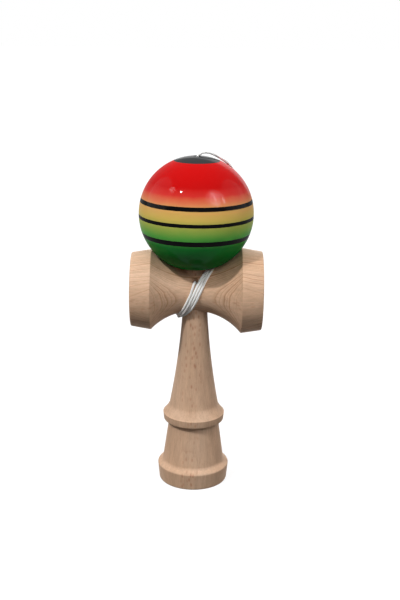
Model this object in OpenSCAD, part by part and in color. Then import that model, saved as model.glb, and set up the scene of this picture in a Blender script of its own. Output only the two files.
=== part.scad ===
// Cup and ball toy: a turned handle with a spike, a cross-piece with two cups, and a
// ball on a string. The ball stands on the spike, and the string is wound round the
// crossing and led over the ball into the hole in its top.
// Millimetres, +Z up, origin at the centre of the handle's foot, +X towards the big cup.

/* [Ball] */
// Diameter of the ball
ball_d = 60; // [54:0.5:66]
// Diameter of the spike hole at its inner end
hole_end_d = 18.6; // [16:0.2:20]
// Depth of the bevel round the mouth of the spike hole
hole_bevel = 0.8; // [0.4:0.1:1.4]
// Diameter of the string hole through the top of the ball
string_hole_d = 3; // [2.4:0.1:3.6]
// Gap between the resting ball and the saddle of the cross-piece
seat_gap = 0.2; // [0.1:0.05:0.6]

/* [Cross-piece] */
// Height of the cross-piece's axis above the floor
cross_h = 108.5; // [100:0.5:116]
// Diameter at the waist
waist_d = 22.5; // [20:0.5:26]
// Outer diameter of the big cup at its ridge
big_cup_d = 45.8; // [42:0.2:50]
// Outer diameter of the small cup at its ridge
small_cup_d = 42.8; // [39:0.2:46]
// Distance from the handle's axis to the big cup's ridge
big_ridge_x = 24.4; // [23:0.2:27]
// Distance from the handle's axis to the small cup's ridge
small_ridge_x = 23.4; // [22:0.2:26]
// Distance from the handle's axis to the big cup's rim
big_rim_x = 35.4; // [34:0.2:38]
// Distance from the handle's axis to the small cup's rim
small_rim_x = 34; // [33:0.2:37]
// How much narrower each rim is than its ridge
cup_taper = 3.5; // [1:0.1:5]
// Width of the flat lip round each cup
cup_lip = 1.3; // [0.8:0.1:2]
// Depth of the big cup
big_cup_depth = 8; // [6:0.2:9]
// Depth of the small cup
small_cup_depth = 7.2; // [5.5:0.2:8]
// Rounding of the ridges and rims
cup_round = 0.7; // [0.3:0.1:1.2]
// Diameter of the string hole in the waist
waist_hole_d = 3.8; // [3.6:0.1:4.4]

/* [Handle] */
// Diameter of the base flange at its upper edge
base_d = 39.2; // [36:0.2:42]
// Diameter of the base flange at its lower edge
base_low_d = 37.6; // [37.2:0.2:40]
// Diameter of the flat foot under the base flange
foot_d = 36.8; // [34:0.2:37]
// Height of the base flange's band
base_band_h = 9.4; // [7:0.2:11]
// Diameter of the lower cone where it stands on the base flange
cone_low_d = 33.6; // [31:0.2:36]
// Diameter of the lower cone where it meets the middle ring
cone_top_d = 27.4; // [25:0.2:29]
// Height of the middle ring's lower edge
ring_h = 35.2; // [31:0.2:39]
// Height of the middle ring's band
ring_band_h = 4; // [3:0.1:6]
// Diameter of the middle ring at its upper edge
ring_d = 33.6; // [31:0.2:36]
// Diameter of the middle ring at its lower edge
ring_low_d = 32.8; // [30:0.2:35]
// Diameter of the shaft where it grows out of the middle ring
shaft_low_d = 26.4; // [24:0.2:29]
// Diameter of the shaft just under the cross-piece
shaft_top_d = 13.5; // [12.6:0.1:15]
// How far the shaft's sides draw in between its two ends
shaft_hollow = 0.8; // [0:0.1:2]
// Diameter of the spike just above the cross-piece
spike_base_d = 12.2; // [11.4:0.1:12.8]
// Diameter of the spike where its tip is rounded
spike_tip_d = 6.4; // [5:0.1:8]
// Length of the spike above the cross-piece's axis
spike_len = 47.8; // [42:0.2:52]
// Length of the rounded tip
spike_nose = 4.6; // [3:0.2:6]
// Depth of the cup under the foot
foot_cup_depth = 6; // [4.6:0.1:7]
// Width of the flat rim round the cup under the foot
foot_lip = 1.8; // [1:0.1:3]
// Radial clearance of the handle's taper in the cross-piece
taper_fit = 0.04; // [0.02:0.01:0.08]

/* [String and bead] */
// Diameter of the string
string_d = 0.9; // [0.8:0.05:1]
// Whole turns of string round the crossing
string_turns = 3; // [2:1:4]
// Gap between neighbouring strands of the winding
strand_gap = 0.5; // [0.48:0.02:0.6]
// Gap between the string and the wood it lies on
string_lay = 0.15; // [0.1:0.05:0.3]
// Room between the outermost strand over the saddle and the ball's hole
string_room = 0.6; // [0.3:0.1:1]
// Angle of the string hole above the horizontal
string_hole_tilt = 40; // [35:1:45]
// Diameter of the string's knots
knot_d = 3.6; // [3.2:0.1:4]
// Height of the string's knots
knot_h = 3; // [2.5:0.1:3.6]
// Outer diameter of the bead
bead_d = 8.5; // [7:0.1:10]
// Height of the bead
bead_h = 6.4; // [5:0.1:8]
// Diameter of the bead's hole
bead_hole_d = 2; // [1.6:0.1:2.6]
// Gap between the bead and the end of the spike hole
bead_gap = 0.2; // [0.1:0.05:0.4]
// Clearance between the spike's tip and the knot over it
tip_clear = 1.2; // [0.6:0.1:2]

/* [Hidden] */
$fn = 96;

beech = "burlywood";
paint = "crimson";
cotton = "white";
bead_wood = "peru";

// Overshoot that lets a cutter pass cleanly through a face.
over = 1;
// Steps of a rounded corner, a small arc and a long arc.
corner_steps = 4;
arc_steps = 12;

// Taper of the handle inside the cross-piece, which the cross-piece's bore shares. It
// runs a little past the waist at both ends.
waist_r = waist_d / 2;
taper_past = 1.8;
taper_reach = waist_r + taper_past;
taper_low_z = cross_h - taper_reach;
taper_top_z = cross_h + taper_reach;
spike_tip_z = cross_h + spike_len;

// Saddle of the cross-piece: one arc from the waist to each ridge.
big_rise = (big_cup_d - waist_d) / 2;
small_rise = (small_cup_d - waist_d) / 2;
big_arc_r = (big_ridge_x ^ 2 + big_rise ^ 2) / (2 * big_rise);
small_arc_r = (small_ridge_x ^ 2 + small_rise ^ 2) / (2 * small_rise);
function saddle_r(x) =
    let (r = x > 0 ? big_arc_r : small_arc_r)
    waist_r + r - sqrt(r ^ 2 - x ^ 2);

// Cups: the opening's radius and the radius of the hollow's sphere.
function cup_open_r(ridge_d) = (ridge_d - cup_taper) / 2 - cup_round - cup_lip;
function hollow_r(open_r, depth) = (open_r ^ 2 + depth ^ 2) / (2 * depth);
foot_open_r = foot_d / 2 - foot_lip;

// Winding: the strands lie side by side over the saddle and in two layers under it. They
// lean, so they stand further apart along X, and they are more upright in front and
// behind than close to the handle.
string_r = string_d / 2;
strand_pitch = string_d + strand_gap;
lean_spread = 1.1;
layer_spread = 1.06;
front_pitch = strand_pitch * lean_spread;
under_pitch = strand_pitch / 2;
layer_h = strand_pitch * layer_spread;
over_x = spike_base_d / 2 + string_r + 2 * string_lay + front_pitch * (string_turns - 1) / 2;
under_x = shaft_top_d / 2 + string_r + 2 * string_lay + under_pitch * string_turns / 2;
middle_turn = string_turns / 2 + 0.25;
upright = 0.35;
turn_step = 15;
join_angle = -5;
end_angle = 360 * string_turns + 180;
turn_rings = round((end_angle - join_angle) / turn_step);

// Spike hole of the ball and the ball's place on the saddle.
hole_mouth_r = over_x + front_pitch * (string_turns - 1) / 2 + string_r + string_room;
ball_r = ball_d / 2;
ball_z = cross_h + max(saddle_r(hole_mouth_r), saddle_r(-hole_mouth_r)) + seat_gap
         + sqrt(ball_r ^ 2 - hole_mouth_r ^ 2);
mouth_z = ball_z - sqrt(ball_r ^ 2 - hole_mouth_r ^ 2);

// Bead and knot, stacked over the spike's tip under the end of the spike hole.
bead_knot_z = spike_tip_z + tip_clear;
bead_z = bead_knot_z + knot_h;
hole_end_z = bead_z + bead_h + bead_gap;

// Anchor: a hole drilled through the handle on a slant, widened at the back for the knot.
anchor_seat = 4;
anchor_gap = 0.1;
anchor_step = 0.8;
anchor_start = anchor_seat + anchor_gap;
anchor_pocket_d = knot_d + anchor_step;
anchor_hole_d = knot_d - anchor_step;
function along_hole(s) = [0, -s * cos(string_hole_tilt), cross_h + s * sin(string_hole_tilt)];

// Route of the free string, from the winding's end up the back of the ball, over its
// right side and into the hole in its top.
lead_route = [
    [6.5, 12.5, 112.5], [9.5, 13.5, 117], [12.5, 14, 121], [15.5, 14.5, 125],
    [18, 15.5, 128.5], [20.5, 16.5, 132.5], [22, 18, 137], [23, 19.5, 141.5],
    [23.5, 20, 146], [23.5, 20.5, 151], [23, 20, 156], [22.5, 18.5, 160.5],
    [21.5, 16.5, 165], [20, 14, 169], [18, 11.5, 172.5], [15.5, 8.5, 175.5],
    [13, 6, 177.5], [10, 4, 179.5], [7, 2.5, 181], [4, 1.5, 181.5],
    [2, 0.5, 181], [0.5, 0, 180], [0, 0, 178], [0, 0, 175], [0, 0, 171]
];

// Points on a corner of radius r round the centre [cx, cy], from angle a0 to a1.
function corner(cx, cy, r, a0, a1, steps = corner_steps) =
    [for (i = [0:steps]) let (a = a0 + (a1 - a0) * i / steps) [cx + r * cos(a), cy + r * sin(a)]];

function unit(v) = v / norm(v);
function mix(a, b, t) = a + (b - a) * t;

// Point of the winding at an angle: 0 is in front, 90 underneath, 180 behind, 270 on top.
function winding_x(a) =
    let (s = sin(a),
         reach = s > 0 ? under_x : over_x,
         pitch = s > 0 ? mix(front_pitch, under_pitch, s ^ 4) : front_pitch)
    (a / 360 - middle_turn) * pitch - reach * s * mix(1 - upright, 1, s ^ 4);
function winding_layer(a) =
    let (s = sin(a), turn = floor((a + 90) / 360))
    s > 0 && turn % 2 == 1 ? layer_h * s ^ 2 : 0;
function winding_point(a) =
    let (x = winding_x(a), rho = saddle_r(x) + string_r + string_lay + winding_layer(a))
    [x, -rho * cos(a), cross_h - rho * sin(a)];

// The string's way out of the hole: straight along it, then one bend onto the saddle.
exit_reach = 3.8;
exit_start = along_hole(waist_r - exit_reach);
exit_knee = along_hole(waist_r + exit_reach);
exit_join = winding_point(join_angle);
exit_steps = 7;
function exit_point(t) = mix(mix(exit_start, exit_knee, t), mix(exit_knee, exit_join, t), t);

winding_end = winding_point(end_angle);
winding_heading = unit(winding_end - winding_point(end_angle - turn_step / 3));
lead_start = winding_end + string_d * winding_heading;

winding_path = concat(
    [for (s = [-anchor_start, -anchor_start + string_d, 0, anchor_start]) along_hole(s)],
    [for (i = [0:exit_steps - 1]) exit_point(i / exit_steps)],
    [for (i = [0:turn_rings]) winding_point(mix(join_angle, end_angle, i / turn_rings))],
    [lead_start]
);

// Smooth curve through a list of points, with steps pieces between neighbours.
function curve_point(p, i, t) =
    let (last = len(p) - 1,
         a = p[max(i - 1, 0)], b = p[i], c = p[min(i + 1, last)], d = p[min(i + 2, last)])
    b + t * (c - a) / 2 + t ^ 2 * (a - 2.5 * b + 2 * c - d / 2) + t ^ 3 * (1.5 * (b - c) + (d - a) / 2);
function smooth(p, steps) =
    concat([for (i = [0:len(p) - 2], k = [0:steps - 1]) curve_point(p, i, k / steps)], [p[len(p) - 1]]);

lead_run = concat([lead_start + string_d * winding_heading], lead_route, [[0, 0, bead_z]]);
lead_path = concat([lead_start], smooth(lead_run, 2));

// Least gap between strands of the winding, on points a few degrees apart.
gap_step = 3;
gap_points = [for (a = [join_angle:gap_step:end_angle]) winding_point(a)];
gap_skip = 180 / gap_step;
least_gap = min([for (i = [0:len(gap_points) - 1 - gap_skip])
    min([for (j = [i + gap_skip:len(gap_points) - 1]) norm(gap_points[i] - gap_points[j])])]) - string_d;
echo(least_gap_of_winding = least_gap);

// A tube of the given diameter along a path, with a flat cap at each end. The side
// vector tells where each ring starts, so that the tube doesn't twist.
module tube(path, d, sides, side) {
    last = len(path) - 1;
    rings = [for (i = [0:last])
        let (heading = unit(path[min(i + 1, last)] - path[max(i - 1, 0)]),
             u = unit(cross(heading, cross(side, heading))),
             v = cross(heading, u))
        for (k = [0:sides - 1])
            let (a = 360 * k / sides)
            path[i] + d / 2 * (cos(a) * u + sin(a) * v)];
    skin = [for (i = [0:last - 1], k = [0:sides - 1])
        let (a = i * sides + k, b = i * sides + (k + 1) % sides)
        each [[a, b + sides, b], [a, a + sides, b + sides]]];
    caps = [for (k = [1:sides - 2])
        each [[0, k, k + 1], [last * sides, last * sides + k + 1, last * sides + k]]];
    polyhedron(points = rings, faces = concat(skin, caps), convexity = 8);
}

// The handle's outline, from the foot's axis up one side to the tip of the spike. The
// bands of the base and the ring narrow downwards, the base's shoulder is a shallow slope,
// the ring has a small undercut below, and a cove leads from the ring up into the shaft.
module handle_outline() {
    foot_r = foot_d / 2;
    foot_rise = 1.2;
    base_r = base_d / 2;
    base_low_r = base_low_d / 2;
    base_edge = 0.9;
    shoulder_slope = 0.6;
    shoulder_h = (base_r - cone_low_d / 2) * shoulder_slope;
    ring_r = ring_d / 2;
    ring_low_r = ring_low_d / 2;
    ring_edge = 0.4;
    ring_top = ring_h + ring_band_h;
    undercut_h = 1.6;
    undercut_r = 0.7;
    cone_top_r = cone_top_d / 2;
    shaft_low_r = shaft_low_d / 2;
    cove_rise = 1.5;
    cove_bow = 1.4;
    shaft_low_z = ring_top + (ring_r - shaft_low_r) * cove_rise;
    taper_r = shaft_top_d / 2;
    spike_r = spike_base_d / 2;
    tip_r = spike_tip_d / 2;
    nose_z = spike_tip_z - spike_nose;
    polygon(concat(
        [[0, 0]],
        [for (i = [0:corner_steps])
            let (a = 90 * i / corner_steps)
            [mix(foot_r, base_low_r, sin(a)), foot_rise * (1 - cos(a))]],
        corner(base_r - base_edge, base_band_h - base_edge, base_edge, 0, 60),
        [[cone_low_d / 2, base_band_h + shoulder_h],
         [cone_top_r, ring_h - undercut_h],
         [cone_top_r + undercut_r, ring_h - undercut_r]],
        corner(ring_low_r - ring_edge, ring_h + ring_edge, ring_edge, -70, 0),
        corner(ring_r - ring_edge, ring_top - ring_edge, ring_edge, 0, 40),
        [for (i = [1:corner_steps])
            let (t = i / (corner_steps + 1))
            [mix(ring_r - ring_edge / 2, shaft_low_r, 1 - (1 - t) ^ cove_bow), mix(ring_top, shaft_low_z, t)]],
        [for (i = [0:arc_steps])
            let (t = i / arc_steps)
            [mix(shaft_low_r, taper_r, t) - shaft_hollow * 4 * t * (1 - t),
             mix(shaft_low_z, taper_low_z, t)]],
        [[spike_r, taper_top_z]],
        [for (i = [0:arc_steps / 2])
            let (a = 90 * i / (arc_steps / 2))
            [tip_r * cos(a), nose_z + spike_nose * sin(a)]]
    ));
}

// The slanted string hole, from distance s0 to s1 along its axis.
module slant_hole(d, s0, s1) {
    translate(along_hole(s0))
        rotate([90 - string_hole_tilt, 0, 0])
            cylinder(d = d, h = s1 - s0);
}

// Turned beech handle with its base cup, middle ring and spike.
module handle() {
    hollow = hollow_r(foot_open_r, foot_cup_depth);
    color(beech)
        difference() {
            rotate_extrude() handle_outline();
            translate([0, 0, foot_cup_depth - hollow]) sphere(r = hollow);
            slant_hole(anchor_hole_d, -anchor_seat - over, shaft_top_d);
            slant_hole(anchor_pocket_d, -shaft_top_d, -anchor_seat);
        }
}

// One half of the cross-piece's outline, from the waist out to the rim.
module cup_outline(ridge_x, ridge_d, rim_x) {
    ridge_r = ridge_d / 2;
    rim_r = ridge_r - cup_taper / 2;
    polygon(concat(
        [[0, 0]],
        [for (i = [0:arc_steps - 1]) let (x = ridge_x * i / arc_steps) [saddle_r(sign(rim_x) * x), x]],
        [[ridge_r - cup_round / 2, ridge_x - cup_round / 2],
         [ridge_r - cup_round / 4, ridge_x + cup_round / 2]],
        corner(rim_r - cup_round, abs(rim_x) - cup_round, cup_round, 5, 90),
        [[0, abs(rim_x)]]
    ));
}

// Beech cross-piece with a cup at each end, bored for the handle's taper.
module cross_piece() {
    big_hollow = hollow_r(cup_open_r(big_cup_d), big_cup_depth);
    small_hollow = hollow_r(cup_open_r(small_cup_d), small_cup_depth);
    bore_low_r = shaft_top_d / 2 + taper_fit;
    bore_top_r = spike_base_d / 2 + taper_fit;
    color(beech)
        difference() {
            translate([0, 0, cross_h]) {
                rotate([0, 90, 0]) rotate_extrude() cup_outline(big_ridge_x, big_cup_d, big_rim_x);
                rotate([0, -90, 0]) rotate_extrude() cup_outline(small_ridge_x, small_cup_d, -small_rim_x);
            }
            translate([big_rim_x - big_cup_depth + big_hollow, 0, cross_h]) sphere(r = big_hollow);
            translate([-small_rim_x + small_cup_depth - small_hollow, 0, cross_h]) sphere(r = small_hollow);
            translate([0, 0, taper_low_z])
                cylinder(r1 = bore_low_r, r2 = bore_top_r, h = taper_top_z - taper_low_z);
            slant_hole(waist_hole_d, 0, waist_d);
        }
}

// Lacquered ball with its spike hole below and the string hole through its top.
module ball() {
    bevel_r = hole_mouth_r + hole_bevel;
    color(paint)
        difference() {
            translate([0, 0, ball_z]) sphere(d = ball_d);
            rotate_extrude()
                polygon([
                    [0, mouth_z - ball_r],
                    [bevel_r + ball_r, mouth_z - ball_r],
                    [bevel_r, mouth_z],
                    [hole_mouth_r, mouth_z + hole_bevel],
                    [hole_end_d / 2, hole_end_z],
                    [0, hole_end_z]
                ]);
            translate([0, 0, hole_end_z - over]) cylinder(d = string_hole_d, h = ball_d);
        }
}

// Round bead that the string is knotted under, inside the ball.
module bead() {
    round_share = 0.3;
    round_r = bead_h * round_share;
    color(bead_wood)
        rotate_extrude()
            polygon(concat(
                [[bead_hole_d / 2, bead_z]],
                corner(bead_d / 2 - round_r, bead_z + round_r, round_r, -90, 0),
                corner(bead_d / 2 - round_r, bead_z + bead_h - round_r, round_r, 0, 90),
                [[bead_hole_d / 2, bead_z + bead_h]]
            ));
}

// A knot: a squat barrel whose flat top takes the end of the string.
module knot() {
    flat_share = 0.84;
    flat_r = knot_d / 2 * flat_share;
    color(cotton)
        rotate_extrude()
            polygon(concat(
                [[0, -knot_h]],
                [for (i = [0:arc_steps])
                    let (t = i / arc_steps)
                    [mix(flat_r, knot_d / 2, 4 * t * (1 - t)), knot_h * (t - 1)]],
                [[0, 0]]
            ));
}

module bead_knot() {
    translate([0, 0, bead_z]) knot();
}

module anchor_knot() {
    translate(along_hole(-anchor_start))
        rotate([90 - string_hole_tilt, 0, 0])
            knot();
}

// String from the anchor knot out of the waist and round the crossing.
module string_winding() {
    color(cotton) tube(winding_path, string_d, 6, [0, 0, 1]);
}

// Free string from the winding over the ball, down its top hole and through the bead.
module string_lead() {
    color(cotton) tube(lead_path, string_d, 8, [-0.4, 0.9, 0]);
}

handle();
cross_piece();
ball();
bead();
bead_knot();
anchor_knot();
string_winding();
string_lead();
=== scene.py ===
"""Cup and ball toy: turned beech, a lacquered ball with stripes and a white braided string.

Lengths are in metres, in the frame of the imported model: +Z up, the origin under the
handle's foot, +X towards the big cup, and the viewer on the -Y side.
"""

import math

import bmesh
import bpy
import numpy as np
from mathutils import Matrix, Vector


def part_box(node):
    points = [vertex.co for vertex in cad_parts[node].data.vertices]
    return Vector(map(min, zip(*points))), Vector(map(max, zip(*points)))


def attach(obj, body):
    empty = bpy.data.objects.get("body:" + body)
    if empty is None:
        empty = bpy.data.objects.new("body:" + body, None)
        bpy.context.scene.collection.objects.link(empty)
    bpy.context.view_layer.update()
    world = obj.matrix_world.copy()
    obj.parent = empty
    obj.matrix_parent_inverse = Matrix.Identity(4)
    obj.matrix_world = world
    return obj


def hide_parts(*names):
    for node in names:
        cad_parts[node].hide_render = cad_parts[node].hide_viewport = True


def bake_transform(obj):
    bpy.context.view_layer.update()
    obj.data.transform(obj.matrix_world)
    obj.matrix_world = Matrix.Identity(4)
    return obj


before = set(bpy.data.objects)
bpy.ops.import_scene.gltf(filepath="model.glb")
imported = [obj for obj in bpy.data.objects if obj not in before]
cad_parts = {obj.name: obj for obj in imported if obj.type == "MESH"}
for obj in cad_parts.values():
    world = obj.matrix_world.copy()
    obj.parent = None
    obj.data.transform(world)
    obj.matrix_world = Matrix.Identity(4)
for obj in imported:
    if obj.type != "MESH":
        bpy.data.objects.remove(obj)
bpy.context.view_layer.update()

MM = 0.001
MERGE = 0.002 * MM  # points closer than this are one
CREASE_ANGLE = math.radians(35)  # edges that turn by more than this stay crisp
FILLET_SHARE = 0.45  # the most of an edge that the fillet at one end takes up

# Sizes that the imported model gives

handle_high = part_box("handle")[1]
cross_low, cross_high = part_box("cross_piece")
ball_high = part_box("ball")[1]
bead_low, bead_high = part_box("bead")
knot_low, knot_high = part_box("bead_knot")

BASE_R = handle_high.x
SPIKE_TIP_Z = handle_high.z
CROSS_Z = (cross_low.z + cross_high.z) / 2
BIG_RIM_X = cross_high.x
SMALL_RIM_X = -cross_low.x
BIG_CUP_R = cross_high.y
BALL_R = ball_high.x
BEAD_R = bead_high.x
BEAD_LOW_Z = bead_low.z
BEAD_TOP_Z = bead_high.z
KNOT_R = knot_high.x
KNOT_H = knot_high.z - knot_low.z
KNOT_Z = (knot_low.z + knot_high.z) / 2

# Sizes of the handle

FOOT_R = 18.4 * MM
FOOT_OPEN_R = 16.6 * MM
FOOT_DEPTH = 6 * MM
FOOT_RISE = 1.2 * MM
BASE_LOW_R = 18.8 * MM
BAND_H = 9 * MM
BAND_EDGE = 0.7 * MM
CONE_LOW_R = 16.8 * MM
CONE_LOW_Z = 11.08 * MM
CONE_TOP_R = 13.7 * MM
UNDERCUT = 0.7 * MM
UNDERCUT_H = 1.6 * MM
RING_Z = 35.2 * MM
RING_TOP_Z = 39.2 * MM
RING_R = 16.8 * MM
RING_LOW_R = 16.4 * MM
RING_EDGE = 0.4 * MM
COVE_BOW = 1.4
SHAFT_LOW_R = 13.2 * MM
SHAFT_LOW_Z = 44.6 * MM
SHAFT_TOP_R = 6.75 * MM
SHAFT_HOLLOW = 0.8 * MM
SPIKE_R = 6.1 * MM
SPIKE_TIP_R = 3.2 * MM
SPIKE_NOSE = 4.6 * MM
FILLET = 1.2 * MM
FOOT_STEPS = 6
COVE_STEPS = 12
SHAFT_STEPS = 32
NOSE_STEPS = 16

# Sizes of the cross-piece

WAIST_R = 11.25 * MM
SMALL_CUP_R = 21.4 * MM
BIG_RIDGE_X = 24.4 * MM
SMALL_RIDGE_X = 23.4 * MM
BIG_CUP_DEPTH = 8 * MM
SMALL_CUP_DEPTH = 7.2 * MM
CUP_TAPER = 1.75 * MM
CUP_LIP = 1.3 * MM
CUP_ROUND = 0.7 * MM
LIP_ROUND = 0.4 * MM
RIDGE_ROUND = 0.6 * MM
SADDLE_STEPS = 48
TAPER_PAST = 1.8 * MM
TAPER_REACH = WAIST_R + TAPER_PAST
TAPER_FIT = 0.04 * MM

# Sizes of the slanted string hole, which runs through the cross-piece and the handle

HOLE_TILT = math.radians(40)
WAIST_HOLE_R = 1.9 * MM
ANCHOR_SEAT = 4 * MM
ANCHOR_START = 4.1 * MM
ANCHOR_POCKET_R = 2.2 * MM
ANCHOR_HOLE_R = 1.4 * MM

# Sizes of the ball and the bead

TOP_HOLE_R = 1.5 * MM
TOP_BEVEL = 0.4 * MM
BALL_Z = ball_high.z - math.sqrt(BALL_R**2 - TOP_HOLE_R**2)
CAP_R = 11.9 * MM
MOUTH_R = 10.98 * MM
MOUTH_BEVEL = 0.57 * MM
BEAD_GAP = 0.2 * MM
HOLE_END_R = 9.3 * MM
HOLE_END_Z = BEAD_TOP_Z + BEAD_GAP
BEAD_HOLE_R = 1 * MM
BEAD_EDGE = 0.3 * MM
BEAD_ROUND = 1.9 * MM
BALL_STEPS = 160

# Sizes of the string: the centreline keeps to the solid's, which is a little thinner

SOLID_R = 0.45 * MM
STRING_R = 0.65 * MM
STRING_LAY = 0.15 * MM
BRAID_STEP = 0.17 * MM
BRAID_PITCH = 4.8 * MM
BRAID_SIDES = 24
BRAID_STRANDS = 4
BRAID_CROWN = 0.85
BRAID_RELIEF = 0.22
KNOT_STEPS = 240

# The winding: its strands lie side by side over the saddle and in two layers under it. They
# lean, so they stand further apart along X, and they are more upright in front and behind
# than close to the handle. Angles round the saddle are in degrees.

STRING_TURNS = 3
MIDDLE_TURN = STRING_TURNS / 2 + 0.25
STRAND_PITCH = 1.4 * MM
LEAN_SPREAD = 1.1
LAYER_SPREAD = 1.06
FRONT_PITCH = STRAND_PITCH * LEAN_SPREAD
UNDER_PITCH = STRAND_PITCH / 2
LAYER_H = STRAND_PITCH * LAYER_SPREAD
UPRIGHT = 0.35
OVER_X = SPIKE_R + SOLID_R + 2 * STRING_LAY + FRONT_PITCH * (STRING_TURNS - 1) / 2
UNDER_X = SHAFT_TOP_R + SOLID_R + 2 * STRING_LAY + UNDER_PITCH * STRING_TURNS / 2
EXIT_REACH = 3.8 * MM
EXIT_STEPS = 12
JOIN_ANGLE = -5
END_ANGLE = 360 * STRING_TURNS + 180
TURN_STEP = 3

# The free string, from the winding up the back of the ball, over its right side and into
# the hole in its top: its points in millimetres.

LEAD_ROUTE = [
    (6.5, 12.5, 112.5), (9.5, 13.5, 117), (12.5, 14, 121), (15.5, 14.5, 125),
    (18, 15.5, 128.5), (20.5, 16.5, 132.5), (22, 18, 137), (23, 19.5, 141.5),
    (23.5, 20, 146), (23.5, 20.5, 151), (23, 20, 156), (22.5, 18.5, 160.5),
    (21.5, 16.5, 165), (20, 14, 169), (18, 11.5, 172.5), (15.5, 8.5, 175.5),
    (13, 6, 177.5), (10, 4, 179.5), (7, 2.5, 181), (4, 1.5, 181.5),
    (2, 0.5, 181), (0.5, 0, 180), (0, 0, 178), (0, 0, 175), (0, 0, 171),
]
LEAD_STEPS = 12

# The camera, the lamps and the floor

FRAME_PIXELS = 600  # the frame's longer side
FOCAL_PIXELS = 950
CAMERA_PLACE = Vector((2.6, -487.5, 246.8)) * MM
CAMERA_PITCH = math.radians(16.45)
CAMERA_ROLL = math.radians(0.85)
LAMP_DISTANCE = 0.9
FLOOR_HALF = 8.0
FLOOR_Z = -0.05 * MM
WHITE = (1, 1, 1, 1)


# Small helpers for shapes

def mix(a, b, t):
    return a + (b - a) * t


def rounded(corners, steps=6):
    """An outline through (x, y, fillet) corners, each fillet a short curve."""
    points = [np.array(c[:2]) for c in corners]
    outline = []
    for i, corner in enumerate(corners):
        here = points[i]
        if i in (0, len(corners) - 1) or not corner[2]:
            outline.append(tuple(here))
            continue
        back = points[i - 1] - here
        ahead = points[i + 1] - here
        back_length, ahead_length = np.linalg.norm(back), np.linalg.norm(ahead)
        reach = min(corner[2], FILLET_SHARE * min(back_length, ahead_length))
        start = here + back / back_length * reach
        end = here + ahead / ahead_length * reach
        for k in range(steps + 1):
            t = k / steps
            outline.append(tuple(mix(mix(start, here, t), mix(here, end, t), t)))
    return outline


def new_piece(name, points, faces, material):
    """A mesh in the scene with smooth shading."""
    mesh = bpy.data.meshes.new(name)
    mesh.from_pydata([tuple(p) for p in points], [], faces)
    mesh.materials.append(material)
    mesh.validate()
    mesh.shade_smooth()
    piece = bpy.data.objects.new(name, mesh)
    bpy.context.scene.collection.objects.link(piece)
    return piece


def lathe(name, outline, material, closed=False, steps=192, place=Matrix()):
    """Turns an outline of (radius, height) points round the Z axis, then moves it by place.
    A radius of 0 gives a single point, and a closed outline joins its end to its start."""
    points, rings = [], []
    for radius, height in outline:
        count = 1 if radius < MERGE else steps
        rings.append(range(len(points), len(points) + count))
        for k in range(count):
            a = 2 * math.pi * k / steps
            points.append(place @ Vector((radius * math.cos(a), radius * math.sin(a), height)))
    pairs = list(zip(rings, rings[1:] + rings[:1]))
    faces = []
    for low, high in pairs if closed else pairs[:-1]:
        for k in range(steps):
            n = (k + 1) % steps
            corners = [low[k % len(low)], low[n % len(low)], high[n % len(high)], high[k % len(high)]]
            faces.append(list(dict.fromkeys(corners)))
    return new_piece(name, points, faces, material)


def cut(piece, cutter):
    """Takes the cutter out of the piece and removes it, and clears the slivers that are left."""
    modifier = piece.modifiers.new("cut", "BOOLEAN")
    modifier.operation = "DIFFERENCE"
    modifier.solver = "EXACT"
    modifier.object = cutter
    shaped = piece.evaluated_get(bpy.context.evaluated_depsgraph_get())
    mesh = bpy.data.meshes.new_from_object(shaped)
    piece.modifiers.clear()
    piece.data = mesh
    bpy.data.objects.remove(cutter)
    cleaner = bmesh.new()
    cleaner.from_mesh(mesh)
    bmesh.ops.remove_doubles(cleaner, verts=cleaner.verts, dist=MERGE)
    bmesh.ops.dissolve_degenerate(cleaner, edges=cleaner.edges, dist=MERGE)
    cleaner.to_mesh(mesh)
    cleaner.free()


def crease(piece):
    """Keeps the sharp edges of a smooth piece crisp."""
    piece.data.set_sharp_from_angle(angle=CREASE_ANGLE)


def along_hole(distance):
    """A point on the slanted string hole's axis, measured from the handle's axis."""
    return Vector((0, -distance * math.cos(HOLE_TILT), CROSS_Z + distance * math.sin(HOLE_TILT)))


def slanted(distance):
    """The place of something that stands along the string hole at that distance."""
    return Matrix.Translation(along_hole(distance)) @ Matrix.Rotation(math.pi / 2 - HOLE_TILT, 4, "X")


# Small helpers for materials

def srgb(red, green, blue):
    """The linear colour of a display colour from 0 to 255."""
    parts = [v / 255 for v in (red, green, blue)]
    linear = [v / 12.92 if v <= 0.04045 else ((v + 0.055) / 1.055) ** 2.4 for v in parts]
    return (*linear, 1)


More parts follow.
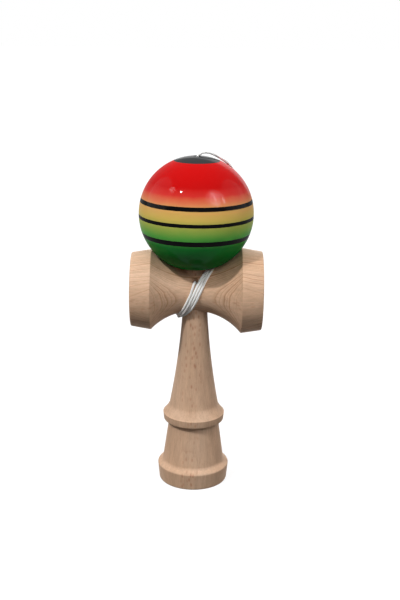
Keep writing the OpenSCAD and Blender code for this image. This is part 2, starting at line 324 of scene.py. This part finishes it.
class Nodes:
    """A node tree, with short calls that add a node and join it up."""

    def __init__(self, tree):
        self.tree = tree

    def put(self, socket, value):
        if isinstance(value, bpy.types.NodeSocket):
            self.tree.links.new(value, socket)
        else:
            socket.default_value = value

    def node(self, kind, inputs=(), **settings):
        made = self.tree.nodes.new("ShaderNode" + kind)
        for name, value in settings.items():
            setattr(made, name, value)
        for key, value in dict(inputs).items():
            self.put(made.inputs[key], value)
        return made

    def place(self, middle=(0, 0, 0)):
        """Where a point of the surface is, measured from the middle."""
        inputs = {0: self.node("TexCoord").outputs["Object"], 1: middle}
        return self.node("VectorMath", inputs, operation="SUBTRACT").outputs[0]

    def seen(self):
        """1 for a ray from the camera, straight or by way of gloss or glass, and else 0."""
        rays = self.node("LightPath").outputs
        shown = rays["Is Camera Ray"]
        for name in ("Is Glossy Ray", "Is Transmission Ray"):
            shown = self.math("MAXIMUM", shown, rays[name])
        return shown

    def math(self, operation, *values):
        return self.node("Math", enumerate(values), operation=operation).outputs[0]

    def scaled(self, vector, scale):
        return self.node("VectorMath", {0: vector, 1: scale}, operation="MULTIPLY").outputs[0]

    def along(self, vector, direction):
        """How far the vector reaches along a direction, in millimetres."""
        inputs = {0: vector, 1: Vector(direction) / MM}
        return self.node("VectorMath", inputs, operation="DOT_PRODUCT").outputs["Value"]

    def noise(self, vector, scale, detail=2.0, roughness=0.5):
        """Soft noise from 0 to 1, on the vector times the scale."""
        inputs = {"Vector": self.scaled(vector, scale), "Scale": 1.0}
        inputs.update(Detail=detail, Roughness=roughness)
        return self.node("TexNoise", inputs).outputs["Fac"]

    def sway(self, vector, scale, width, detail=2.0):
        """Soft noise about 0, over a range of that width."""
        return self.math("MULTIPLY_ADD", self.noise(vector, scale, detail), width, -width / 2)

    def cells(self, vector, scale):
        """The distance from the middle of the nearest random cell, and that cell's level."""
        made = self.node("TexVoronoi", {"Vector": self.scaled(vector, scale), "Scale": 1.0})
        level = self.node("SeparateColor", {0: made.outputs["Color"]}).outputs[0]
        return made.outputs["Distance"], level

    def ramp(self, value, *stops, span=None):
        """Maps a value through (place, level) stops, straight in between. The places lie
        from 0 to 1, or else within the span."""
        if span:
            low, high = span
            value = self.math("DIVIDE", self.math("SUBTRACT", value, low), high - low)
            stops = [((place - low) / (high - low), level) for place, level in stops]
        made = self.node("ValToRGB", {"Fac": value})
        elements = made.color_ramp.elements
        while len(elements) < len(stops):
            elements.new(0.5)
        for element, (position, level) in zip(elements, stops):
            element.position = position
            element.color = level if isinstance(level, tuple) else (level, level, level, 1)
        return made.outputs["Color"]

    def blend(self, share, first, second, kind="MIX"):
        made = self.node("Mix", {0: share, 6: first, 7: second}, data_type="RGBA", blend_type=kind)
        return made.outputs[2]


class Shader(Nodes):
    """A material's node tree and its surface."""

    def __init__(self, name):
        self.material = bpy.data.materials.new(name)
        self.material.use_nodes = True
        super().__init__(self.material.node_tree)
        self.surface = self.tree.nodes["Principled BSDF"]

    def set(self, **values):
        """Sets the surface's own sockets, with _ for a space in their names."""
        for name, value in values.items():
            self.put(self.surface.inputs[name.replace("_", " ")], value)

    def bump(self, height, strength, distance):
        inputs = {"Height": height, "Strength": strength, "Distance": distance}
        self.set(Normal=self.node("Bump", inputs).outputs["Normal"])


# Materials

def beech(name, middle, grain, ring_normal, pale, ring_show, fleck_show):
    """Beech, unlacquered. Growth rings lie across ring_normal, and the small red-brown
    flecks of the wood's rays are long along the grain and show where it faces outwards.
    Scales are per millimetre inwards, across and along the grain."""
    s = Shader(name)
    grain, ring_normal = Vector(grain).normalized(), Vector(ring_normal).normalized()
    place = s.place(middle)
    inward = s.along(place, ring_normal)
    across = s.along(place, grain.cross(ring_normal))
    along = s.along(place, grain)
    board = s.node("CombineXYZ", {0: inward, 1: across, 2: along}).outputs[0]

    pith_distance = 45
    ring_step = 1.0
    curve = s.math("DIVIDE", s.math("MULTIPLY", across, across), 2 * pith_distance)
    warp = s.sway(board, (0.03, 0.03, 0.012), 7)
    ripple = s.sway(board, (0.12, 0.16, 0.05), 1.6)
    depth = s.math("ADD", s.math("SUBTRACT", inward, curve), s.math("ADD", warp, ripple))
    depth_only = s.node("CombineXYZ", {0: depth}).outputs[0]
    uneven = s.math("MULTIPLY", s.noise(depth_only, (0.35, 0, 0), detail=1), 2.5)
    year = s.math("ADD", s.math("DIVIDE", depth, ring_step), uneven)

    phase = s.math("FRACT", year)
    ring = s.ramp(phase, (0, 0.3), (0.12, 0), (0.5, 0.08), (0.78, 0.5), (0.9, 1), (1, 0.3))
    seed = s.math("FLOOR", year)
    chance = s.node("TexWhiteNoise", {"W": seed}, noise_dimensions="1D").outputs["Value"]
    patchy = s.ramp(s.noise(board, (0.2, 0.06, 0.02)), (0.35, 0.4), (0.65, 1))
    not_outermost = s.ramp(s.math("ABSOLUTE", inward), (20, 1), (21.5, 0.2), span=(0, 50))
    for strength in (s.ramp(chance, (0.1, 0.25), (0.9, 1)), patchy, not_outermost):
        ring = s.math("MULTIPLY", ring, strength)

    distance, level = s.cells(board, (0.09, 0.66, 0.28))
    fleck = s.ramp(distance, (0.16, 1), (0.42, 0))
    chosen = s.ramp(level, (0.3, 0), (0.6, 1))
    facing = s.ramp(s.math("ABSOLUTE", across), (2, 1), (6.5, 0.08), span=(0, 10))
    for strength in (chosen, facing):
        fleck = s.math("MULTIPLY", fleck, strength)

    fibre = s.noise(board, (1.6, 2.4, 0.05), detail=4, roughness=0.65)
    streak = s.sway(board, (0.5, 0.6, 0.012), 1, detail=3)
    pores = s.ramp(s.noise(board, (3.2, 5.5, 0.45)), (0.6, 0), (0.76, 1))
    cloud = s.ramp(s.noise(board, (0.04, 0.05, 0.015)), (0.35, 0), (0.65, 1))

    pore_show = 0.4
    colour = s.blend(cloud, srgb(217, 182, 153), srgb(209, 171, 140))
    colour = s.blend(s.math("MULTIPLY", ring, ring_show), colour, srgb(154, 95, 48))
    colour = s.blend(s.math("MULTIPLY", fleck, fleck_show), colour, srgb(176, 112, 84))
    colour = s.blend(s.math("MULTIPLY", pores, pore_show), colour, srgb(150, 104, 74))
    light = s.ramp(s.math("ADD", fibre, streak), (0.2, 0.86 * pale), (0.8, 1.1 * pale))
    colour = s.blend(1.0, colour, light, "MULTIPLY")

    s.set(Base_Color=colour, Specular_IOR_Level=0.14)
    s.set(Roughness=s.ramp(fibre, (0.3, 0.64), (0.7, 0.5)))
    height = s.math("SUBTRACT", s.math("MULTIPLY", fibre, 0.5), pores)
    s.bump(height, strength=0.25, distance=0.05 * MM)
    return s.material


def lacquer():
    """The ball's paint: a blend from red at the top to green, with three black stripes and a
    black cap round the string hole, all under clear lacquer. The cap is painted dark grey,
    not black: a painted sheen that stands in for the sky mirrored in its lacquer. Latitudes
    are in degrees, and scales are per metre."""
    s = Shader("lacquer")
    place = s.place((0, 0, BALL_Z))
    rise = s.along(place, (0, 0, MM / BALL_R))
    wobble = s.sway(place, (40, 40, 40), 0.4, detail=1)
    latitude = s.math("ADD", s.math("DEGREES", s.math("ARCSINE", rise)), wobble)

    tints = [
        (-46, srgb(5, 124, 44)), (-26, srgb(14, 142, 50)), (-15, srgb(96, 184, 73)),
        (-4, srgb(173, 186, 82)), (4, srgb(215, 185, 92)), (14, srgb(220, 162, 95)),
        (20, srgb(214, 115, 76)), (27, srgb(202, 46, 40)), (35, srgb(186, 8, 8)),
    ]
    mist = s.sway(place, (160, 160, 160), 3, detail=3)
    colour = s.ramp(s.math("ADD", latitude, mist), *tints, span=(-60, 60))

    speck_r = 0.045
    speckless_share = 0.6
    speck_show = 0.8
    distance, level = s.cells(place, (110, 110, 110))
    chosen = s.math("GREATER_THAN", level, speckless_share)
    speck = s.math("MULTIPLY", s.math("LESS_THAN", distance, speck_r), chosen)
    colour = s.blend(s.math("MULTIPLY", speck, speck_show), colour, srgb(60, 30, 18))

    stripes = [(14.5, 2.1), (-1.4, 1.8), (-20.1, 2.6)]
    for middle, half in stripes:
        off = s.math("ABSOLUTE", s.math("SUBTRACT", latitude, middle))
        colour = s.blend(s.math("LESS_THAN", off, half), colour, srgb(4, 4, 5))
    # The black cap is painted grey: a painted sheen of the sky mirrored in its lacquer.
    cap_latitude = math.degrees(math.acos(CAP_R / BALL_R))
    colour = s.blend(s.math("GREATER_THAN", latitude, cap_latitude), colour, srgb(48, 49, 50))

    s.set(Base_Color=colour, Roughness=0.4, Specular_IOR_Level=0.0)
    s.set(Coat_Weight=0.2, Coat_Roughness=0.06, Coat_IOR=1.33)
    s.bump(s.noise(place, (260, 260, 260), detail=1), strength=0.04, distance=0.1 * MM)
    return s.material


def cord_fibre():
    """White braided string, with painted shade in the grooves between its strands."""
    s = Shader("cord_fibre")
    height = s.node("Attribute", attribute_name="braid_height").outputs["Fac"]
    # Painted shade: the braid's low parts, between the strands, are made grey.
    colour = s.blend(s.ramp(height, (0.1, 0), (0.7, 1)), srgb(222, 221, 219), srgb(244, 243, 241))
    s.set(Base_Color=colour, Roughness=0.7, Specular_IOR_Level=0.3)
    s.set(Sheen_Weight=0.3, Sheen_Roughness=0.5)
    return s.material


def bead_finish():
    """The bead's darker wood, smooth from polishing."""
    s = Shader("bead_finish")
    grain = s.noise(s.place(), (900, 900, 90), detail=4)
    colour = s.blend(s.ramp(grain, (0.35, 0), (0.65, 1)), srgb(172, 126, 82), srgb(140, 96, 58))
    s.set(Base_Color=colour, Roughness=0.4)
    s.bump(grain, strength=0.15, distance=0.05 * MM)
    return s.material


# Pieces

def cup_outline(open_r, depth, steps=24):
    """A round cup's (radius, depth) points, from its floor on the axis out to its rim."""
    sphere_r = (open_r**2 + depth**2) / (2 * depth)
    reach = math.asin(open_r / sphere_r)
    angles = [reach * i / steps for i in range(steps + 1)]
    return [(sphere_r * math.sin(a), depth - sphere_r * (1 - math.cos(a))) for a in angles]


def rod(name, radius, start, end, material):
    """A round bar along the slanted string hole, for cutting."""
    outline = [(0, start), (radius, start), (radius, end), (0, end)]
    return lathe(name, outline, material, steps=48, place=slanted(0))


def handle_piece(material):
    """The turned handle: foot cup, base flange, lower cone, middle ring, shaft and spike."""
    foot = [(FOOT_OPEN_R, 0)]
    for i in range(FOOT_STEPS):
        a = math.pi / 2 * i / FOOT_STEPS
        foot.append((mix(FOOT_R, BASE_LOW_R, math.sin(a)), FOOT_RISE * (1 - math.cos(a))))
    lower = rounded([
        (BASE_LOW_R, FOOT_RISE, 0),
        (BASE_R, BAND_H, BAND_EDGE),
        (CONE_LOW_R, CONE_LOW_Z, FILLET),
        (CONE_TOP_R, RING_Z - UNDERCUT_H, FILLET),
        (CONE_TOP_R + UNDERCUT, RING_Z - UNDERCUT, RING_EDGE),
        (RING_LOW_R, RING_Z, RING_EDGE),
        (RING_R, RING_TOP_Z - RING_EDGE / 4, RING_EDGE),
        (RING_R - RING_EDGE / 2, RING_TOP_Z, 0),
    ])
    cove, shaft, spike = [], [], [(SPIKE_R, CROSS_Z + TAPER_REACH)]
    for i in range(1, COVE_STEPS):
        t = i / COVE_STEPS
        radius = mix(RING_R - RING_EDGE / 2, SHAFT_LOW_R, 1 - (1 - t) ** COVE_BOW)
        cove.append((radius, mix(RING_TOP_Z, SHAFT_LOW_Z, t)))
    for i in range(SHAFT_STEPS + 1):
        t = i / SHAFT_STEPS
        hollow = SHAFT_HOLLOW * 4 * t * (1 - t)  # deepest halfway up
        radius = mix(SHAFT_LOW_R, SHAFT_TOP_R, t) - hollow
        shaft.append((radius, mix(SHAFT_LOW_Z, CROSS_Z - TAPER_REACH, t)))
    for i in range(NOSE_STEPS):
        a = math.pi / 2 * i / NOSE_STEPS
        spike.append((SPIKE_TIP_R * math.cos(a), SPIKE_TIP_Z - SPIKE_NOSE * (1 - math.sin(a))))
    spike.append((0, SPIKE_TIP_Z))
    cup = cup_outline(FOOT_OPEN_R, FOOT_DEPTH)[:-1]
    piece = lathe("turned_handle", cup + foot + lower + cove + shaft + spike, material)
    through = 2 * SHAFT_TOP_R
    overlap = MM
    cut(piece, rod("anchor_hole", ANCHOR_HOLE_R, -ANCHOR_SEAT - overlap, through, material))
    cut(piece, rod("anchor_pocket", ANCHOR_POCKET_R, -through, -ANCHOR_SEAT, material))
    crease(piece)
    return piece


def saddle_r(x):
    """The cross-piece's radius between its two ridges."""
    ridge_x, ridge_r = (BIG_RIDGE_X, BIG_CUP_R) if x > 0 else (SMALL_RIDGE_X, SMALL_CUP_R)
    rise = ridge_r - WAIST_R
    arc_r = (ridge_x**2 + rise**2) / (2 * rise)
    return WAIST_R + arc_r - math.sqrt(arc_r**2 - x**2)


def cup_half(ridge_x, ridge_r, rim_x, depth):
    """One end of the cross-piece, from the cup's floor over the rim and ridge to the waist,
    as (radius, distance from the handle's axis) points."""
    rim_r = ridge_r - CUP_TAPER
    open_r = rim_r - CUP_ROUND - CUP_LIP
    cup = [(radius, abs(rim_x) - d) for radius, d in cup_outline(open_r, depth)]
    side = math.copysign(1, rim_x)
    inner = [ridge_x * (1 - i / SADDLE_STEPS) for i in range(1, SADDLE_STEPS + 1)]
    saddle = [(saddle_r(side * x), x) for x in inner]
    rim = rounded([
        (*cup[-2], 0),
        (*cup[-1], LIP_ROUND),
        (rim_r, abs(rim_x), CUP_ROUND),
        (ridge_r, ridge_x, RIDGE_ROUND),
        (*saddle[0], 0),
    ])
    return cup[:-2] + rim + saddle[1:]


def cross_piece(material):
    """The cross-piece: a cup at each end, the saddle between them, the handle's tapered
    bore and the slanted string hole."""
    small = cup_half(SMALL_RIDGE_X, SMALL_CUP_R, -SMALL_RIM_X, SMALL_CUP_DEPTH)
    big = cup_half(BIG_RIDGE_X, BIG_CUP_R, BIG_RIM_X, BIG_CUP_DEPTH)
    outline = [(r, -x) for r, x in small] + [(r, x) for r, x in reversed(big[:-1])]
    lying = Matrix.Translation((0, 0, CROSS_Z)) @ Matrix.Rotation(math.pi / 2, 4, "Y")
    piece = lathe("turned_cross_piece", outline, material, place=lying)
    low, high = CROSS_Z - TAPER_REACH, CROSS_Z + TAPER_REACH
    bore = [(0, low), (SHAFT_TOP_R + TAPER_FIT, low), (SPIKE_R + TAPER_FIT, high), (0, high)]
    cut(piece, lathe("taper_bore", bore, material, steps=96))
    cut(piece, rod("string_hole", WAIST_HOLE_R, 0, 2 * WAIST_R, material))
    crease(piece)
    return piece


def ball_piece(paint, wood):
    """The ball: lacquered outside, bare wood in the spike hole and the string hole."""
    mouth_z = BALL_Z - math.sqrt(BALL_R**2 - (MOUTH_R + MOUTH_BEVEL) ** 2)
    low = -math.acos((MOUTH_R + MOUTH_BEVEL) / BALL_R)
    high = math.acos((TOP_HOLE_R + TOP_BEVEL) / BALL_R)
    skin = []
    for i in range(BALL_STEPS + 1):
        a = mix(low, high, i / BALL_STEPS)
        skin.append((BALL_R * math.cos(a), BALL_Z + BALL_R * math.sin(a)))
    inside = rounded([
        (*skin[-1], 0),
        (TOP_HOLE_R, skin[-1][1] - TOP_BEVEL, TOP_BEVEL),
        (TOP_HOLE_R, HOLE_END_Z, 0),
        (HOLE_END_R, HOLE_END_Z, FILLET),
        (MOUTH_R, mouth_z + MOUTH_BEVEL, MOUTH_BEVEL),
        (*skin[0], 0),
    ])
    piece = lathe("lacquered_ball", skin + inside[1:-1], paint, closed=True, steps=256)
    piece.data.materials.append(wood)
    centre = Vector((0, 0, BALL_Z))
    for face in piece.data.polygons:
        if (face.center - centre).length < BALL_R - MOUTH_BEVEL:
            face.material_index = 1
    crease(piece)
    return piece


def bead_piece(material):
    """The bead that keeps the string from pulling through the ball."""
    outline = rounded([
        (BEAD_HOLE_R, BEAD_LOW_Z + BEAD_EDGE, 0),
        (BEAD_HOLE_R, BEAD_LOW_Z, BEAD_EDGE),
        (BEAD_R, BEAD_LOW_Z, BEAD_ROUND),
        (BEAD_R, BEAD_TOP_Z, BEAD_ROUND),
        (BEAD_HOLE_R, BEAD_TOP_Z, BEAD_EDGE),
        (BEAD_HOLE_R, BEAD_TOP_Z - BEAD_EDGE, 0),
    ])
    return lathe("round_bead", outline, material, closed=True, steps=96)


# String

def smooth(points, steps):
    """A curve through the points, with steps pieces between neighbours."""
    points = [Vector(p) for p in points]
    curve = []
    for i in range(len(points) - 1):
        a, b = points[max(i - 1, 0)], points[i]
        c, d = points[i + 1], points[min(i + 2, len(points) - 1)]
        for k in range(steps):
            t = k / steps
            bend = t**2 * (a - 2.5 * b + 2 * c - d / 2) + t**3 * (1.5 * (b - c) + (d - a) / 2)
            curve.append(b + t * (c - a) / 2 + bend)
    return curve + [points[-1]]


def winding_point(angle):
    """A point of the winding: 0 degrees is in front, 90 underneath, 180 behind, 270 on top."""
    s = math.sin(math.radians(angle))
    lean = s**4  # 1 on top and underneath, and close to 0 in front and behind
    under = s > 0
    turn = angle / 360 - MIDDLE_TURN
    pitch = mix(FRONT_PITCH, UNDER_PITCH, lean) if under else FRONT_PITCH
    reach = UNDER_X if under else OVER_X
    x = turn * pitch - reach * s * mix(1 - UPRIGHT, 1, lean)
    second_layer = under and math.floor((angle + 90) / 360) % 2 == 1
    lift = LAYER_H * s**2 if second_layer else 0
    rho = saddle_r(x) + SOLID_R + STRING_LAY + lift
    return Vector((x, -rho * math.cos(math.radians(angle)), CROSS_Z - rho * s))


def string_route():
    """The string's centreline: out of its hole, round the crossing, over the ball and down
    through the ball's top hole to the knot under the bead."""
    inside = [along_hole(-ANCHOR_START), along_hole(0), along_hole(ANCHOR_START)]
    start, knee = along_hole(WAIST_R - EXIT_REACH), along_hole(WAIST_R + EXIT_REACH)
    join = winding_point(JOIN_ANGLE)
    bend = []
    for i in range(EXIT_STEPS):
        t = i / EXIT_STEPS
        bend.append(mix(mix(start, knee, t), mix(knee, join, t), t))
    count = round((END_ANGLE - JOIN_ANGLE) / TURN_STEP)
    turns = [winding_point(mix(JOIN_ANGLE, END_ANGLE, i / count)) for i in range(count + 1)]
    heading = (turns[-1] - turns[-2]).normalized()
    leaving = [turns[-1] + heading * 2 * SOLID_R * k for k in (1, 2)]
    lead = [Vector(p) * MM for p in LEAD_ROUTE]
    foot = Vector((0, 0, BEAD_LOW_Z))
    return inside + bend + turns + leaving[:1] + smooth([leaving[1], *lead, foot], LEAD_STEPS)


def evenly(points, step):
    """The points of a path at even steps along it."""
    points = np.array(points)
    lengths = np.linalg.norm(np.diff(points, axis=0), axis=1)
    reach = np.concatenate([[0], np.cumsum(lengths)])
    places = np.linspace(0, reach[-1], round(reach[-1] / step) + 1)
    return np.stack([np.interp(places, reach, points[:, k]) for k in range(3)], axis=1)


def braided(name, path, radius, material, closed=False):
    """A braided string along a path: two sets of strands wind opposite ways round it, and
    pass over and under each other in turn."""
    count = len(path)
    heading = np.gradient(path, axis=0)
    if closed:
        heading = np.roll(path, -1, axis=0) - np.roll(path, 1, axis=0)
    heading /= np.linalg.norm(heading, axis=1)[:, None]
    askew = (0.3, 0.2, 0.9)  # any direction that no path starts along
    side = np.cross(heading[0], askew)
    points, heights = [], []
    for i in range(count):
        side = side - heading[i] * (side @ heading[i])
        side /= np.linalg.norm(side)
        other = np.cross(heading[i], side)
        climb = i * BRAID_STEP / BRAID_PITCH
        for k in range(BRAID_SIDES):
            turn = k / BRAID_SIDES
            one = BRAID_STRANDS * (turn + climb)
            two = BRAID_STRANDS * (turn - climb)
            upper = one if (math.floor(one) + math.floor(two)) % 2 else two
            height = math.sqrt(1 - BRAID_CROWN * (2 * (upper % 1) - 1) ** 2)
            r = radius * (1 - BRAID_RELIEF * (1 - height))
            a = 2 * math.pi * turn
            points.append(path[i] + r * (math.cos(a) * side + math.sin(a) * other))
            heights.append(height)
    faces = []
    for i in range(count if closed else count - 1):
        a, b = i * BRAID_SIDES, (i + 1) % count * BRAID_SIDES
        for k in range(BRAID_SIDES):
            n = (k + 1) % BRAID_SIDES
            faces.append((a + k, a + n, b + n, b + k))
    if not closed:
        faces.append(tuple(reversed(range(BRAID_SIDES))))
        faces.append(tuple(range((count - 1) * BRAID_SIDES, count * BRAID_SIDES)))
    piece = new_piece(name, points, faces, material)
    # The braid's height, which the string's material reads to paint shade between the strands.
    attribute = piece.data.attributes.new("braid_height", "FLOAT", "POINT")
    attribute.data.foreach_set("value", heights)
    return piece


def knot_piece(name, place, material):
    """An overhand knot pulled tight, its middle at the origin of place."""
    radius = KNOT_R - STRING_R
    loop = []
    for i in range(KNOT_STEPS):
        t = 2 * math.pi * i / KNOT_STEPS
        x = (math.sin(t) + 2 * math.sin(2 * t)) / 3 * radius
        y = (math.cos(t) - 2 * math.cos(2 * t)) / 3 * radius
        z = -math.sin(3 * t) * (KNOT_H / 2 - STRING_R)
        loop.append(place @ Vector((x, y, z)))
    path = evenly(loop + loop[:1], BRAID_STEP)[:-1]
    return braided(name, path, STRING_R, material, closed=True)


# Stage

def floor_piece():
    """A wide pale floor, just under the foot so that the two faces stay apart."""
    s = Shader("pale_floor")
    seen = s.seen()
    s.set(Roughness=0.9, Specular_IOR_Level=0.0)
    s.set(Base_Color=s.blend(seen, (0.05, 0.05, 0.05, 1), (0.22, 0.22, 0.22, 1)))
    s.set(Emission_Color=WHITE, Emission_Strength=s.math("MULTIPLY", seen, 0.82))
    sides = [(-1, -1), (1, -1), (1, 1), (-1, 1)]
    corners = [(x * FLOOR_HALF, y * FLOOR_HALF, FLOOR_Z) for x, y in sides]
    new_piece("floor", corners, [(0, 1, 2, 3)], s.material)


def add_light(name, kind, towards, strength, gloss_only=False, **settings):
    """A lamp that shines from the direction towards it, at the toy's middle. One that is
    gloss_only shows in the lacquer and lights nothing else."""
    lamp = bpy.data.lights.new(name, kind)
    lamp.energy = strength
    for key, value in settings.items():
        setattr(lamp, key, value)
    holder = bpy.data.objects.new(name, lamp)
    direction = Vector(towards).normalized()
    holder.location = Vector((0, 0, CROSS_Z)) + direction * LAMP_DISTANCE
    holder.rotation_euler = direction.to_track_quat("Z", "Y").to_euler()
    holder.visible_diffuse = not gloss_only
    bpy.context.scene.collection.objects.link(holder)


def window(name, towards, width, height, level, gloss_only=True):
    """A soft oval light of that size and brightness, mirrored in the lacquer."""
    area = math.pi / 4 * width * height
    oval = {"shape": "ELLIPSE", "size": width, "size_y": height}
    add_light(name, "AREA", towards, level * math.pi * area, gloss_only, **oval)


def sky():
    """Soft light from all round, dimmer low down. Seen directly or mirrored, it is white."""
    world = bpy.data.worlds.new("soft_sky")
    world.use_nodes = True
    bpy.context.scene.world = world
    s = Nodes(world.node_tree)
    upward = s.node("SeparateXYZ", {0: s.node("TexCoord").outputs["Generated"]}).outputs["Z"]
    light = s.ramp(upward, (0, 0), (0.2, 0.1), (0.5, 0.7), (0.8, 1.15), (1, 1))
    s.put(s.tree.nodes["Background"].inputs["Color"], s.blend(s.seen(), light, WHITE))


def add_camera():
    """The photograph's view: a 400 by 600 frame and a focal length in its pixels."""
    camera = bpy.data.cameras.new("camera")
    camera.lens = camera.sensor_width * FOCAL_PIXELS / FRAME_PIXELS
    holder = bpy.data.objects.new("camera", camera)
    aim = Matrix.Rotation(math.pi / 2 - CAMERA_PITCH, 4, "X") @ Matrix.Rotation(CAMERA_ROLL, 4, "Z")
    holder.matrix_world = Matrix.Translation(CAMERA_PLACE) @ aim
    bpy.context.scene.collection.objects.link(holder)
    bpy.context.scene.camera = holder


# The toy

crossing = Vector((0, 0, CROSS_Z))
handle_wood = beech(
    "handle_wood", middle=(0, 0, 0), grain=(0, 0, 1), ring_normal=(-0.12, -1, 0),
    pale=0.84, ring_show=0.12, fleck_show=0.6,
)
cross_wood = beech(
    "cross_wood", middle=crossing, grain=(1, 0, 0), ring_normal=(0, -1, -0.18),
    pale=1.0, ring_show=0.8, fleck_show=0.3,
)
ball_wood = beech(
    "ball_wood", middle=crossing, grain=(0, 0, 1), ring_normal=(0, -1, 0),
    pale=0.9, ring_show=0.3, fleck_show=0.3,
)
fibre = cord_fibre()

handle = handle_piece(handle_wood)
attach(handle, "handle")
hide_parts("handle")

cross = cross_piece(cross_wood)
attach(cross, "handle")
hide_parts("cross_piece")

ball = ball_piece(lacquer(), ball_wood)
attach(ball, "ball")
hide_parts("ball")

bead = bead_piece(bead_finish())
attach(bead, "bead")
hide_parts("bead")

under_bead = Matrix.Translation((0, 0, KNOT_Z))
bead_knot = knot_piece("bead_knot_string", under_bead, fibre)
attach(bead_knot, "bead")
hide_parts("bead_knot")

in_handle = slanted(-ANCHOR_START - KNOT_H / 2)
anchor_knot = knot_piece("anchor_knot_string", in_handle, fibre)
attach(anchor_knot, "handle")
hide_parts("anchor_knot")

route = evenly(string_route(), BRAID_STEP)
string = braided("string", route, STRING_R, fibre)
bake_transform(string)
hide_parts("string_winding", "string_lead")

floor_piece()
sky()
add_light("key", "SUN", towards=(-0.485, -0.5, 0.79), strength=1.86, angle=math.radians(3))
add_light("back_fill", "SUN", towards=(0.2, 0.95, 0.2), strength=0.8, angle=math.radians(40))
window("wide_window", towards=(0.56, -0.56, 0.62), width=0.6, height=0.5, level=8)
window("middle_window", towards=(0.55, -0.57, 0.6), width=0.35, height=0.4, level=14)
window("narrow_window", towards=(0.54, -0.57, 0.62), width=0.05, height=0.32, level=40, gloss_only=False)
window("right_window", towards=(0.76, -0.38, 0.53), width=0.05, height=0.22, level=28)
window("left_window", towards=(-0.65, -0.23, 0.73), width=0.2, height=0.16, level=14)
for width in (0.45, 0.75, 1.05):
    oval = {"width": width, "height": 0.9 * width}
    window(f"far_left_window_{width}", towards=(-0.92, 0.06, 0.44), level=1.8, **oval)
    window(f"far_right_window_{width}", towards=(0.94, 0.06, 0.42), level=1.4, **oval)
add_camera()
bpy.context.scene.view_settings.view_transform = "Standard"
